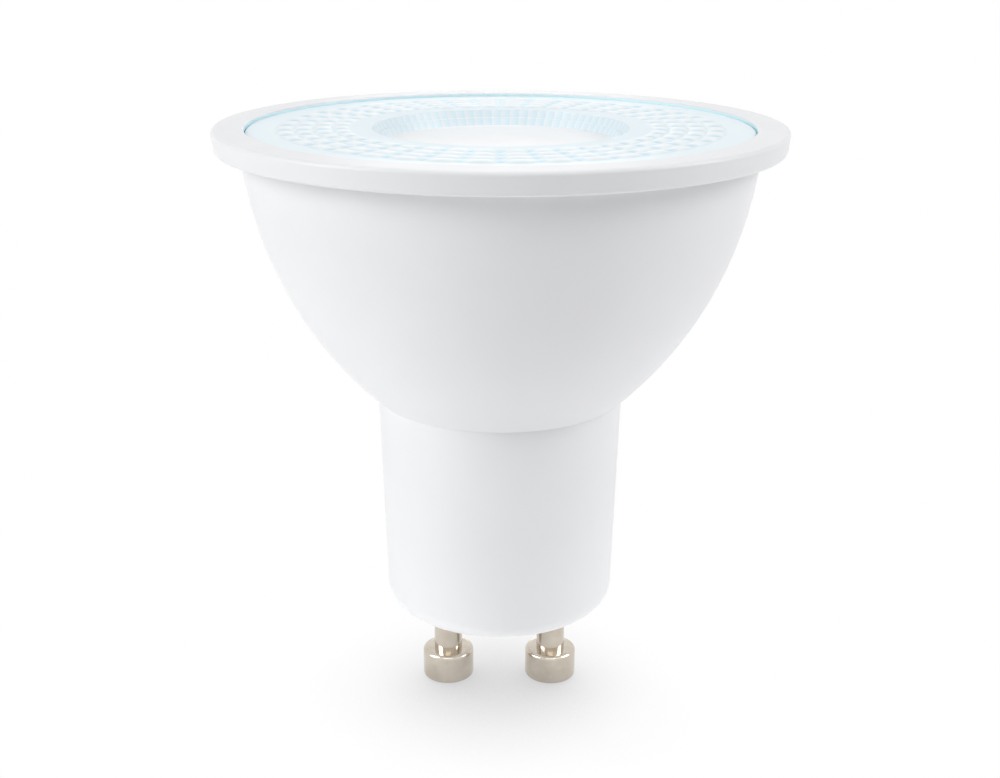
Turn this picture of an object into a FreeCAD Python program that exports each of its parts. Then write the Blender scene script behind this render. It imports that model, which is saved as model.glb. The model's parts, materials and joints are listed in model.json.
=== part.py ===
import FreeCAD, Part
import math
import os

from FreeCAD import Vector

# GU10 spotlight bulb in millimetres. The lamp axis is +Z, and the origin lies midway between the ends of
# the two contact pins, on the surface that the bulb stands on.

# Housing: one white moulding
pin_reach = 8.7               # pin ends to the underside of the neck
neck_length = 20.6            # underside of the neck to the foot of the bowl
bowl_height = 22.8            # foot of the bowl to the underside of the rim
rim_thickness = 1.9
rim_overhang = 2.4            # how far the rim stands out from the top of the bowl
rim_land = 2.82               # width of the rim's top face
rim_draft = 0.25              # the rim's side leans in by this much towards its underside
rim_round = 0.4
rim_under_round = 0.3
opening_round = 0.15
bowl_top_radius = 22.6
bowl_arc_radius = 34.5
neck_radius = 10.6            # at the underside
neck_draft = 0.6              # the neck is wider by this much at the foot of the bowl
neck_edge_round = 2.0
wall = 1.4
base_floor = 2.2
boss_wall = 0.4               # boss beyond the rivet that it carries
boss_height = 1.5

# Lens: one clear moulding
lens_clearance = 0.1
lens_recess = 0.3             # border of the lens below the top of the rim
lens_border = 0.8             # thickness of the border that sits on the ledge
lens_edge_round = 0.2
lens_body_gap = 0.5
lens_side_arc = 45.0
lens_foot_gap = 0.3           # screw heads to the foot of the lens
lens_foot_width = 1.5
hollow_depth = 6.0
hollow_taper = 0.3
hollow_bulge = 0.8            # the roof of the hollow is a convex lens
facet_columns = 40
facet_rings = 4
facet_border = 2.5            # smooth border outside the facets
facet_pitch = 1.625           # width of one ring of facets
facet_rise = 0.18             # height that a cushion's curve would reach in its middle
facet_steps = (0.3, 0.65)     # insets of a cushion's flat faces, as shares of half its width
well_land = 1.85              # smooth ring between the facets and the well
well_facets_per_column = 2
tier_depth = 0.66
tier_lean = 0.35
tier_step = 0.15

# Contact pins
pin_spacing = 10.0
pin_head_radius = 2.45
pin_head_height = 2.95
pin_head_round = 0.35
pin_shank_radius = 1.35
pin_shoulder = 0.25           # step under the neck, from the shank to the tail in its hole
pin_tail_clearance = 0.05
pin_rivet_lip = 0.9
pin_rivet_height = 0.6
rivet_clearance = 0.3
pin_bore_depth = 3.0
pin_bore_clearance = 0.15
lead_wire_radius = 0.4
lead_wire_bend = 0.8
lead_wire_straight = 0.2      # from the end of the bend to the face of the driver board
lead_wire_rise = 4.0          # lower edge of the driver board to the wire's hole
hole_clearance = 0.1          # round every lead in its hole

# Heat sink cup
cup_wall = 0.9
cup_clearance = 0.05
cup_floor_rise = 6.9          # foot of the bowl to the underside of the cup's floor
cup_floor_thickness = 1.0
cup_top_gap = 0.4
cup_edge_round = 0.6
cup_hole_clearance = 0.8      # output pins to the edge of the hole in the cup's floor

# LED board
led_board_thickness = 1.0
led_board_gap = 0.8
led_count = 6
led_spacing = 0.5             # between the inner corners of neighbours
led_length = 3.5
led_width = 2.8
led_height = 0.7
led_dish_radius = 1.05
led_dish_depth = 0.15
led_clearance = 0.6
screw_radius = 1.0
screw_length = 3.5
screw_head_radius = 1.9
screw_head_height = 1.2
screw_head_round = 0.5
screw_slot_width = 0.5
screw_slot_depth = 0.6
screw_edge = 2.4              # screw axis to the edge of the LED board
screw_clearance = 0.05

# Driver board and the guides that hold its edges
board_thickness = 1.0
board_bottom_gap = 0.5
board_top_gap = 1.5
board_edge_gap = 0.4
guide_clearance = 0.1
guide_wall = 0.9
guide_grip = 1.2
guide_height = 12.0
output_pin_width = 0.6
output_pin_spacing = 2.54
output_pin_overlap = 3.5      # length soldered to the driver board
output_pin_stub = 0.8         # length above the LED board

# Parts on the driver board
part_gap = 0.8
can_seat = 0.1
can_edge_round = 0.4
can_groove_place = 1.6
can_groove_radius = 0.35
can_lead_radius = 0.25
can_lead_drop = 1.0
can_lead_bend = 0.5
bulk_can_radius = 4.0
bulk_can_length = 8.5
bulk_lead_spacing = 3.5
bulk_rise = 2.0               # lower edge of the driver board to the can
output_can_radius = 1.6
output_can_length = 6.5
output_lead_spacing = 1.2
drum_radius = 3.0
drum_height = 6.0
drum_flange = 0.9
drum_waist_radius = 1.3
winding_radius = 2.7
winding_clearance = 0.05
film_width = 7.0
film_depth = 3.6
film_height = 4.0
film_round = 0.4
film_rise = 1.6
film_lead_spacing = 5.0
column_width = 3.8            # side columns of small parts on the back of the driver board
column_gap = 0.3              # from a column to the guide beside it
rectifier_width = 3.6
rectifier_height = 2.2
rectifier_legs = 2            # on each side
chip_width = 3.4
chip_height = 1.5
chip_legs = 4
diode_length = 1.8
diode_width = 2.6
diode_height = 1.6
diode_legs = 1
package_bevel = 0.25
leg_thickness = 0.2
leg_reach = 0.6
leg_width = 0.45
diode_leg_width = 1.2
resistor_radius = 1.1
resistor_length = 4.6
resistor_cap_length = 1.0
resistor_cap_step = 0.15

ring_tolerance = 1e-4         # for finding the edges to round

# Heights
base_z = pin_reach
floor_top_z = base_z + base_floor
boss_top_z = floor_top_z + boss_height
rivet_top_z = boss_top_z + pin_rivet_height
junction_z = base_z + neck_length
rim_under_z = junction_z + bowl_height
top_z = rim_under_z + rim_thickness
lens_top_z = top_z - lens_recess
ledge_z = lens_top_z - lens_border
cup_floor_z = junction_z + cup_floor_rise
cup_floor_top_z = cup_floor_z + cup_floor_thickness
cup_top_z = ledge_z - cup_top_gap
led_board_top_z = cup_floor_top_z + led_board_thickness
lens_bottom_z = led_board_top_z + screw_head_height + lens_foot_gap
board_bottom_z = rivet_top_z + board_bottom_gap
board_top_z = cup_floor_z - board_top_gap
lead_hole_z = board_bottom_z + lead_wire_rise

# Radii that follow from their neighbours
rim_radius = bowl_top_radius + rim_overhang
lens_opening_radius = rim_radius - rim_land
lens_radius = lens_opening_radius - lens_clearance
facet_outer_radius = lens_radius - facet_border
facet_inner_radius = facet_outer_radius - facet_rings * facet_pitch
neck_top_radius = neck_radius + neck_draft
bore_bottom_radius = neck_radius - wall
bore_top_radius = neck_top_radius - wall
pin_tail_radius = pin_shank_radius - pin_shoulder
pin_rivet_radius = pin_tail_radius + pin_rivet_lip
pin_bore_radius = lead_wire_radius + pin_bore_clearance
boss_radius = pin_rivet_radius + boss_wall
led_inner_radius = (led_length + led_spacing) / 2 / math.tan(math.pi / led_count)
led_ring_radius = led_inner_radius + led_width / 2
hollow_radius = math.hypot(led_inner_radius + led_width, led_length / 2) + led_clearance

# The driver board stands behind the plane of the pins, as far back as the bend of the lead wires needs
board_front_y = -(lead_wire_bend + lead_wire_straight)
board_back_y = board_front_y - board_thickness
board_half_width = math.sqrt(bore_bottom_radius ** 2 - board_back_y ** 2) - board_edge_gap
output_pin_y = board_back_y - output_pin_width / 2
output_pin_far_x = (output_pin_spacing + output_pin_width) / 2
output_pin_far_y = output_pin_y - output_pin_width / 2
cup_hole_radius = math.hypot(output_pin_far_x, output_pin_far_y) + cup_hole_clearance

# Places of the parts on the driver board
column_x = board_half_width - guide_grip - column_gap - column_width / 2
bulk_bottom_z = board_bottom_z + bulk_rise
drum_z = bulk_bottom_z + bulk_can_length + part_gap + drum_radius
film_bottom_z = board_bottom_z + film_rise
film_z = film_bottom_z + film_height / 2
row_bottom_z = film_bottom_z + film_height + part_gap
output_can_bottom_z = row_bottom_z + can_lead_drop
rectifier_z = row_bottom_z + rectifier_width / 2 + leg_reach
chip_z = rectifier_z + rectifier_width / 2 + 2 * leg_reach + part_gap + chip_width / 2
resistor_z = row_bottom_z + can_lead_drop + resistor_length / 2
diode_z = resistor_z + resistor_length / 2 + can_lead_drop + part_gap + leg_reach + diode_width / 2

up = Vector(0, 0, 1)
origin = Vector(0, 0, 0)


def point(r, z):
    return Vector(r, 0, z)


def line(start, end):
    return Part.LineSegment(point(*start), point(*end)).toShape()


def polyline(points):
    return [line(start, end) for start, end in zip(points, points[1:])]


def arc_centre(low, high, radius):
    # Centre of the arc through both points, on the side towards the lamp axis and the top
    run = high[0] - low[0]
    rise = high[1] - low[1]
    half_chord = math.hypot(run, rise) / 2
    reach = math.sqrt(radius ** 2 - half_chord ** 2) / (2 * half_chord)
    return ((low[0] + high[0]) / 2 - reach * rise, (low[1] + high[1]) / 2 + reach * run)


def arc_about(centre, start, end):
    # Arc between two points at the same distance from the centre, the short way round
    start_angle = math.atan2(start[1] - centre[1], start[0] - centre[0])
    end_angle = math.atan2(end[1] - centre[1], end[0] - centre[0])
    middle = (start_angle + end_angle) / 2
    radius = math.hypot(start[0] - centre[0], start[1] - centre[1])
    half_way = point(centre[0] + radius * math.cos(middle), centre[1] + radius * math.sin(middle))
    return Part.Arc(point(*start), half_way, point(*end)).toShape()


def turned(edges):
    # Solid of revolution about the lamp axis
    return Part.Face(Part.Wire(edges)).revolve(origin, up, 360)


def rounded(solid, radius, rings):
    # Rounds the circular edges that lie at each (radius, height)
    def on_ring(edge):
        if not isinstance(edge.Curve, Part.Circle):
            return False
        size = edge.Curve.Radius
        height = edge.Curve.Center.z
        return any(abs(size - r) < ring_tolerance and abs(height - z) < ring_tolerance for r, z in rings)
    return solid.makeFillet(radius, [edge for edge in solid.Edges if on_ring(edge)])


def box(x_range, y_range, z_range):
    corner = Vector(x_range[0], y_range[0], z_range[0])
    sides = [high - low for low, high in (x_range, y_range, z_range)]
    return Part.makeBox(*sides, corner)


def around(middle, width):
    return (middle - width / 2, middle + width / 2)


def rod(radius, start, end):
    return Part.makeCylinder(radius, (end - start).Length, start, end - start)


def bent_rod(radius, start, corner, end, bend):
    # Round wire with one right-angled bend
    into = (corner - start).normalize()
    out = (end - corner).normalize()
    bend_start = corner - into * bend
    bend_end = corner + out * bend
    bend_middle = corner + (out - into) * bend * (1 - math.sqrt(0.5))
    path = Part.Wire([
        Part.LineSegment(start, bend_start).toShape(),
        Part.Arc(bend_start, bend_middle, bend_end).toShape(),
        Part.LineSegment(bend_end, end).toShape(),
    ])
    section = Part.Wire(Part.Circle(start, into, radius).toShape())
    return path.makePipeShell([section], True, True)


# Bowl: concentric arcs give its outer face, its inner face and both faces of the cup
bowl_foot = (neck_top_radius, junction_z)
bowl_rim = (bowl_top_radius, rim_under_z)
bowl_centre = arc_centre(bowl_foot, bowl_rim, bowl_arc_radius)
cup_outer_inset = wall + cup_clearance
cup_inner_inset = cup_outer_inset + cup_wall


def bowl_radius(z, inset):
    return bowl_centre[0] + math.sqrt((bowl_arc_radius - inset) ** 2 - (z - bowl_centre[1]) ** 2)


def bowl_level(r, inset):
    return bowl_centre[1] - math.sqrt((bowl_arc_radius - inset) ** 2 - (r - bowl_centre[0]) ** 2)


led_board_radius = bowl_radius(cup_floor_top_z, cup_inner_inset) - led_board_gap
screw_circle_radius = led_board_radius - screw_edge
screw_places = [Vector(0, side * screw_circle_radius, 0) for side in (-1, 1)]
output_pin_places = [side * output_pin_spacing / 2 for side in (-1, 1)]


def make_housing():
    bore_top = (bore_top_radius, bowl_level(bore_top_radius, wall))
    inner_rim = (bowl_radius(ledge_z, wall), ledge_z)
    outer = polyline([(0, base_z), (neck_radius, base_z), bowl_foot])
    outer.append(arc_about(bowl_centre, bowl_foot, bowl_rim))
    rim = polyline([
        bowl_rim,
        (rim_radius - rim_draft, rim_under_z),
        (rim_radius, top_z),
        (lens_opening_radius, top_z),
        (lens_opening_radius, ledge_z),
        inner_rim,
    ])
    inner = [arc_about(bowl_centre, inner_rim, bore_top)]
    inner += polyline([bore_top, (bore_bottom_radius, floor_top_z), (0, floor_top_z), (0, base_z)])
    body = turned(outer + rim + inner)
    body = rounded(body, neck_edge_round, [(neck_radius, base_z)])
    body = rounded(body, rim_round, [(rim_radius, top_z)])
    body = rounded(body, opening_round, [(lens_opening_radius, top_z)])
    body = rounded(body, rim_under_round, [(rim_radius - rim_draft, rim_under_z)])
    for side in (-1, 1):
        pin_axis = Vector(side * pin_spacing / 2, 0, 0)
        boss = rod(boss_radius, pin_axis + up * base_z, pin_axis + up * boss_top_z)
        body = body.fuse([boss, make_guide(side)])
        hole = rod(pin_tail_radius + pin_tail_clearance, pin_axis, pin_axis + up * boss_top_z)
        rivet_room = rod(pin_rivet_radius + rivet_clearance, pin_axis + up * boss_top_z,
                         pin_axis + up * board_bottom_z)
        body = body.cut([hole, rivet_room])
    return body.removeSplitter()


def make_guide(side):
    # Slotted block on the bore's wall that holds one edge of the driver board
    board_middle = (board_front_y + board_back_y) / 2
    slot_width = board_thickness + 2 * guide_clearance
    inner_x = board_half_width - guide_grip
    slot_end = board_half_width + guide_clearance
    x_range = sorted((side * inner_x, side * neck_radius))
    slot_range = sorted((0, side * slot_end))
    z_range = (floor_top_z, board_bottom_z + guide_height)
    block = box(x_range, around(board_middle, slot_width + 2 * guide_wall), z_range)
    block = block.cut(box(slot_range, around(board_middle, slot_width), (board_bottom_z, z_range[1])))
    wall_middle = rod(neck_radius - wall / 2, up * base_z, up * junction_z)
    return block.common(wall_middle)


def on_circle(r, angle, z):
    return Vector(r * math.cos(angle), r * math.sin(angle), z)


def circle_corners(r, count, z):
    return [on_circle(r, 2 * math.pi * step / count, z) for step in range(count)]


def closed(corners):
    return Part.makePolygon(corners + corners[:1])


def band(outer, inner):
    # Flat faces between two loops of corners
    nexts = zip(outer[1:] + outer[:1], inner[1:] + inner[:1])
    return [Part.Face(closed([a, b, d, c])) for a, c, (b, d) in zip(outer, inner, nexts)]


def flat_ring(outer, inner):
    return Part.Face([outer, inner.reversed()])


def make_cushion(inner_r, outer_r, angle):
    # One facet about the given angle: flat faces that follow a low curve, steepest at the edges
    half_angle = math.pi / facet_columns
    loops = []
    for step in (0,) + facet_steps:
        inset = step * (outer_r - inner_r) / 2
        z = lens_top_z + facet_rise * (1 - (1 - step) ** 2)
        loop = []
        for r, sides in ((inner_r, (-1, 1)), (outer_r, (1, -1))):
            reach = r * math.cos(half_angle) - sides[0] * inset
            width = reach * math.tan(half_angle) - inset / math.cos(half_angle)
            loop += [Vector(reach, side * width, z) for side in sides]
        loops.append(loop)
    faces = [Part.Face(closed(loops[-1]))]
    for outer, inner in zip(loops, loops[1:]):
        faces += band(outer, inner)
    for face in faces:
        face.rotate(origin, up, math.degrees(angle))
    return faces


def make_lens():
    well_facets = facet_columns * well_facets_per_column
    well_radius = facet_inner_radius - well_land
    step_z = lens_top_z - tier_depth
    floor_z = step_z - tier_depth
    upper_foot_radius = well_radius - tier_lean
    lower_mouth_radius = upper_foot_radius - tier_step
    upper_mouth = circle_corners(well_radius, well_facets, lens_top_z)
    upper_foot = circle_corners(upper_foot_radius, well_facets, step_z)
    lower_mouth = circle_corners(lower_mouth_radius, well_facets, step_z)
    lower_foot = circle_corners(lower_mouth_radius - tier_lean, well_facets, floor_z)

    border_edge = Part.Wire(Part.makeCircle(lens_radius - lens_edge_round, up * lens_top_z))
    facets_outside = closed(circle_corners(facet_outer_radius, facet_columns, lens_top_z))
    facets_inside = closed(circle_corners(facet_inner_radius, facet_columns, lens_top_z))
    faces = [
        flat_ring(border_edge, facets_outside),
        flat_ring(facets_inside, closed(upper_mouth)),
        flat_ring(closed(upper_foot), closed(lower_mouth)),
        Part.Face(closed(lower_foot)),
    ]
    faces += band(upper_mouth, upper_foot) + band(lower_mouth, lower_foot)
    for ring in range(facet_rings):
        inner_r = facet_inner_radius + ring * facet_pitch
        for column in range(facet_columns):
            middle = 2 * math.pi * (column + 0.5) / facet_columns
            faces += make_cushion(inner_r, inner_r + facet_pitch, middle)
    faces += make_lens_underside()
    shell = Part.makeCompound(faces)
    shell.sewShape()
    solid = Part.Solid(shell.Shells[0])
    return solid if solid.Volume > 0 else solid.reversed()


def make_lens_underside():
    # From the edge of the border down the flared side, round the foot and up into the hollow
    shoulder = (bowl_radius(cup_top_z, cup_inner_inset) - lens_body_gap, ledge_z)
    foot = (hollow_radius + lens_foot_width, lens_bottom_z)
    roof_edge = (hollow_radius - hollow_taper, lens_bottom_z + hollow_depth)
    edge_centre = (lens_radius - lens_edge_round, lens_top_z - lens_edge_round)
    edge_top = (edge_centre[0], lens_top_z)
    edge_side = (lens_radius, edge_centre[1])
    roof_middle = point(0, roof_edge[1] - hollow_bulge)
    roof = Part.Arc(point(*roof_edge), roof_middle, point(-roof_edge[0], roof_edge[1])).toShape()
    outline = [arc_about(edge_centre, edge_top, edge_side)]
    outline += polyline([edge_side, (lens_radius, ledge_z), shoulder])
    outline.append(arc_about(arc_centre(foot, shoulder, lens_side_arc), shoulder, foot))
    outline += polyline([foot, (hollow_radius, lens_bottom_z), roof_edge])
    faces = []
    for edge in outline:
        faces += edge.revolve(origin, up, 360).Faces
    half_roof = Part.Edge(roof.Curve, roof.FirstParameter, (roof.FirstParameter + roof.LastParameter) / 2)
    return faces + half_roof.revolve(origin, up, 360).Faces


def make_contact_pin(side):
    bore_bottom_z = rivet_top_z - pin_bore_depth
    pin = turned(polyline([
        (0, 0),
        (pin_head_radius, 0),
        (pin_head_radius, pin_head_height),
        (pin_shank_radius, pin_head_height),
        (pin_shank_radius, base_z),
        (pin_tail_radius, base_z),
        (pin_tail_radius, boss_top_z),
        (pin_rivet_radius, boss_top_z),
        (pin_rivet_radius, rivet_top_z),
        (pin_bore_radius, rivet_top_z),
        (pin_bore_radius, bore_bottom_z),
        (0, bore_bottom_z),
        (0, 0),
    ]))
    pin = rounded(pin, pin_head_round, [(pin_head_radius, 0), (pin_head_radius, pin_head_height)])
    pin.translate(Vector(side * pin_spacing / 2, 0, 0))
    return pin


def make_lead_wire(side):
    x = side * pin_spacing / 2
    start = Vector(x, 0, rivet_top_z - pin_bore_depth)
    corner = Vector(x, 0, lead_hole_z)
    return bent_rod(lead_wire_radius, start, corner, Vector(x, board_back_y, lead_hole_z), lead_wire_bend)


def make_heat_sink_cup():
    corners = [
        (bowl_radius(cup_floor_z, cup_outer_inset), cup_floor_z),
        (bowl_radius(cup_top_z, cup_outer_inset), cup_top_z),
        (bowl_radius(cup_top_z, cup_inner_inset), cup_top_z),
        (bowl_radius(cup_floor_top_z, cup_inner_inset), cup_floor_top_z),
    ]
    edges = polyline([(cup_hole_radius, cup_floor_z), corners[0]])
    edges.append(arc_about(bowl_centre, corners[0], corners[1]))
    edges.append(line(corners[1], corners[2]))
    edges.append(arc_about(bowl_centre, corners[2], corners[3]))
    edges += polyline([
        corners[3],
        (cup_hole_radius, cup_floor_top_z),
        (cup_hole_radius, cup_floor_z),
    ])
    cup = rounded(turned(edges), cup_edge_round, [corners[0]])
    for place in screw_places:
        hole = rod(screw_radius + screw_clearance, place + up * cup_floor_z, place + up * cup_floor_top_z)
        cup = cup.cut(hole)
    return cup


def make_led_board():
    bottom = up * cup_floor_top_z
    top = up * led_board_top_z
    board = rod(led_board_radius, bottom, top)
    for place in screw_places:
        board = board.cut(rod(screw_radius + hole_clearance, place + bottom, place + top))
    hole_width = output_pin_width + 2 * hole_clearance
    for x in output_pin_places:
        hole = box(around(x, hole_width), around(output_pin_y, hole_width), (bottom.z, top.z))
        board = board.cut(hole)
    return board


def make_led(index):
    top_z = led_board_top_z + led_height
    led = box(around(led_ring_radius, led_width), around(0, led_length), (led_board_top_z, top_z))
    dish = rod(led_dish_radius, Vector(led_ring_radius, 0, top_z - led_dish_depth),
               Vector(led_ring_radius, 0, top_z))
    led = led.cut(dish)
    led.rotate(origin, up, 360 * (index + 0.5) / led_count)
    return led


def make_board_screws():
    head_top_z = led_board_top_z + screw_head_height
    screw = turned(polyline([
        (0, led_board_top_z - screw_length),
        (screw_radius, led_board_top_z - screw_length),
        (screw_radius, led_board_top_z),
        (screw_head_radius, led_board_top_z),
        (screw_head_radius, head_top_z),
        (0, head_top_z),
        (0, led_board_top_z - screw_length),
    ]))
    screw = rounded(screw, screw_head_round, [(screw_head_radius, head_top_z)])
    slot_depths = (head_top_z - screw_slot_depth, head_top_z)
    slot = box(around(0, 2 * screw_head_radius), around(0, screw_slot_width), slot_depths)
    screw = screw.cut(slot)
    screws = []
    for place in screw_places:
        copy = screw.copy()
        copy.translate(place)
        screws.append(copy)
    return Part.makeCompound(screws)


def make_output_pin(x):
    z_range = (board_top_z - output_pin_overlap, led_board_top_z + output_pin_stub)
    return box(around(x, output_pin_width), around(output_pin_y, output_pin_width), z_range)


def can_lead_holes(spacing, can_bottom_z):
    return [(side * spacing / 2, can_bottom_z - can_lead_drop) for side in (-1, 1)]


def resistor_holes():
    drop = resistor_length / 2 + can_lead_drop
    return [(column_x, resistor_z - drop), (column_x, resistor_z + drop)]


def make_driver_board():
    board = box((-board_half_width, board_half_width), (board_back_y, board_front_y),
                (board_bottom_z, board_top_z))
    wire_holes = [(side * pin_spacing / 2, lead_hole_z) for side in (-1, 1)]
    film_holes = [(side * film_lead_spacing / 2, film_z) for side in (-1, 1)]
    thin_holes = can_lead_holes(bulk_lead_spacing, bulk_bottom_z) + film_holes + resistor_holes()
    thin_holes += can_lead_holes(output_lead_spacing, output_can_bottom_z)
    sizes = [(lead_wire_radius, wire_holes), (can_lead_radius, thin_holes)]
    for radius, places in sizes:
        for x, z in places:
            hole = rod(radius + hole_clearance, Vector(x, board_back_y, z), Vector(x, board_front_y, z))
            board = board.cut(hole)
    return board


def make_can(radius, length, lead_spacing, bottom_z, face_y, far_y):
    # Capacitor can lying on one face of the driver board, with its leads bent through to the far face
    outward = 1 if face_y > far_y else -1
    groove_r = radius - can_groove_radius
    can = turned([
        line((0, 0), (radius, 0)),
        line((radius, 0), (radius, can_groove_place - can_groove_radius)),
        Part.Arc(point(radius, can_groove_place - can_groove_radius), point(groove_r, can_groove_place),
                 point(radius, can_groove_place + can_groove_radius)).toShape(),
        line((radius, can_groove_place + can_groove_radius), (radius, length)),
        line((radius, length), (0, length)),
        line((0, length), (0, 0)),
    ])
    can = rounded(can, can_edge_round, [(radius, 0), (radius, length)])
    axis_y = face_y + outward * (radius + can_seat)
    can.translate(Vector(0, axis_y, bottom_z))
    for x, z in can_lead_holes(lead_spacing, bottom_z):
        ends = (Vector(x, axis_y, bottom_z), Vector(x, axis_y, z), Vector(x, far_y, z))
        can = can.fuse(bent_rod(can_lead_radius, *ends, can_lead_bend))
    return can


def make_film_capacitor():
    body = box(around(0, film_width), (board_back_y - film_depth, board_back_y),
               around(film_z, film_height))
    outer_edges = [edge for edge in body.Edges if edge.BoundBox.YMax < board_back_y - film_round]
    body = body.makeFillet(film_round, outer_edges)
    for side in (-1, 1):
        start = Vector(side * film_lead_spacing / 2, board_back_y, film_z)
        body = body.fuse(rod(can_lead_radius, start, start + Vector(0, board_thickness, 0)))
    return body


def make_drum(parts):
    # Drum core on the front of the driver board; each part is (inner radius, outer radius, from, to)
    foot = Vector(0, board_front_y, drum_z)
    outward = Vector(0, 1, 0)
    solids = []
    for inner_r, outer_r, low, high in parts:
        solid = rod(outer_r, foot + outward * low, foot + outward * high)
        if inner_r > 0:
            solid = solid.cut(rod(inner_r, foot + outward * low, foot + outward * high))
        solids.append(solid)
    return solids[0].fuse(solids[1:]).removeSplitter() if len(solids) > 1 else solids[0]


def make_inductor_core():
    return make_drum([
        (0, drum_radius, 0, drum_flange),
        (0, drum_waist_radius, drum_flange, drum_height - drum_flange),
        (0, drum_radius, drum_height - drum_flange, drum_height),
    ])


def make_inductor_winding():
    low = drum_flange + winding_clearance
    high = drum_height - drum_flange - winding_clearance
    return make_drum([(drum_waist_radius + winding_clearance, winding_radius, low, high)])


def make_package(x, z, length, width, height, legs_per_side, width_of_leg):
    # Moulded package on the back of the driver board, with flat legs above and below it
    body = box(around(x, length), (board_back_y - height, board_back_y), around(z, width))
    outer_face = [edge for edge in body.Edges if edge.BoundBox.YMax < board_back_y - height / 2]
    body = body.makeChamfer(package_bevel, outer_face)
    pitch = length / legs_per_side
    for place in range(legs_per_side):
        leg_x = x - length / 2 + (place + 0.5) * pitch
        leg = box(around(leg_x, width_of_leg), (board_back_y - leg_thickness, board_back_y),
                  around(z, width + 2 * leg_reach))
        body = body.fuse(leg)
    return body.removeSplitter()


def make_fuse_resistor():
    axis_y = board_back_y - resistor_radius - resistor_cap_step - can_seat
    bottom = Vector(column_x, axis_y, resistor_z - resistor_length / 2)
    top = bottom + up * resistor_length
    body = rod(resistor_radius, bottom, top)
    cap_radius = resistor_radius + resistor_cap_step
    ends = ((bottom, up), (top, -up))
    for end, inward in ends:
        lead_corner = end - inward * can_lead_drop
        lead_end = Vector(column_x, board_front_y, lead_corner.z)
        cap = rod(cap_radius, end, end + inward * resistor_cap_length)
        body = body.fuse([cap, bent_rod(can_lead_radius, end, lead_corner, lead_end, can_lead_bend)])
    return body


nodes = {
    "housing": make_housing(),
    "lens": make_lens(),
    "heat_sink_cup": make_heat_sink_cup(),
    "led_board": make_led_board(),
    "board_screws": make_board_screws(),
    "driver_board": make_driver_board(),
    "bulk_capacitor": make_can(bulk_can_radius, bulk_can_length, bulk_lead_spacing, bulk_bottom_z,
                               board_front_y, board_back_y),
    "output_capacitor": make_can(output_can_radius, output_can_length, output_lead_spacing,
                                 output_can_bottom_z, board_back_y, board_front_y),
    "film_capacitor": make_film_capacitor(),
    "inductor_core": make_inductor_core(),
    "inductor_winding": make_inductor_winding(),
    "bridge_rectifier": make_package(-column_x, rectifier_z, column_width, rectifier_width,
                                     rectifier_height, rectifier_legs, leg_width),
    "driver_chip": make_package(-column_x, chip_z, column_width, chip_width, chip_height, chip_legs,
                                leg_width),
    "flyback_diode": make_package(column_x, diode_z, diode_length, diode_width, diode_height, diode_legs,
                                  diode_leg_width),
    "fuse_resistor": make_fuse_resistor(),
}
for index in range(led_count):
    nodes[f"led_{index + 1}"] = make_led(index)
for name, side in (("left", -1), ("right", 1)):
    nodes[f"contact_pin_{name}"] = make_contact_pin(side)
    nodes[f"lead_wire_{name}"] = make_lead_wire(side)
    nodes[f"output_pin_{name}"] = make_output_pin(side * output_pin_spacing / 2)

os.makedirs("parts", exist_ok=True)
for name, shape in nodes.items():
    shape.exportStep(f"parts/{name}.step")
    print(name, len(shape.Solids), "solid", shape.isValid(), round(shape.Volume, 2), "mm3")
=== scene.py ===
import bpy
import bmesh
import json
import math
from mathutils import Matrix, Vector


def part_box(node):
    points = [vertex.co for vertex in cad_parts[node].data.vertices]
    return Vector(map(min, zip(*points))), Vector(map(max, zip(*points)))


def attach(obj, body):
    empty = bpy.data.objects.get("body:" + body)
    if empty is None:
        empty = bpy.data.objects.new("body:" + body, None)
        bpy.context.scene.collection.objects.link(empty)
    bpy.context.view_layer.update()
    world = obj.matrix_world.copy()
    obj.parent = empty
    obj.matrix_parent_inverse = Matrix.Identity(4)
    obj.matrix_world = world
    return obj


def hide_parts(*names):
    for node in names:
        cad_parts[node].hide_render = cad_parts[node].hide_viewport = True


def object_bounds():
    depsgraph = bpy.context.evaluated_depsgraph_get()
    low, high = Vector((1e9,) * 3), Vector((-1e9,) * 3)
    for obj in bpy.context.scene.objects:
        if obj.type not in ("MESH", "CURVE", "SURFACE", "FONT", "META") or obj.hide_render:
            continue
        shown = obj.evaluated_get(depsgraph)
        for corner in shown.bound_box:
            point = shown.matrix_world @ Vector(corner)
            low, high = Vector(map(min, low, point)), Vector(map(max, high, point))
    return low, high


# GU10 spotlight bulb on its two contact pins. Sizes are in millimetres, and mm turns them into metres.

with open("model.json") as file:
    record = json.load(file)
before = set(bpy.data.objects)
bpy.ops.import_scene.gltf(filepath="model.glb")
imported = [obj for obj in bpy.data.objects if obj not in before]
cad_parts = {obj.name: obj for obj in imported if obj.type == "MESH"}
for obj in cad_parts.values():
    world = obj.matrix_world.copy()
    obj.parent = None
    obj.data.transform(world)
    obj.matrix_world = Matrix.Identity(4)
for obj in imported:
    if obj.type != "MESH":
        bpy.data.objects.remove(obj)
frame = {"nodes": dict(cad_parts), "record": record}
cadLow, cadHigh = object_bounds()
mm = 0.001
mergeDistance = 1e-7
fullTurn = 2 * math.pi
print("frame loaded with", len(frame["nodes"]), "nodes")


# Modelling helpers

def arcPoints(centre, start, end, steps):
    # Points after start on the arc to end, the short way round, with no rounding at them
    startAngle = math.atan2(start[1] - centre[1], start[0] - centre[0])
    endAngle = math.atan2(end[1] - centre[1], end[0] - centre[0])
    radius = math.dist(start, centre)
    points = []
    for step in range(1, steps + 1):
        angle = startAngle + (endAngle - startAngle) * step / steps
        points.append((centre[0] + radius * math.cos(angle), centre[1] + radius * math.sin(angle), 0))
    return points


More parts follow.
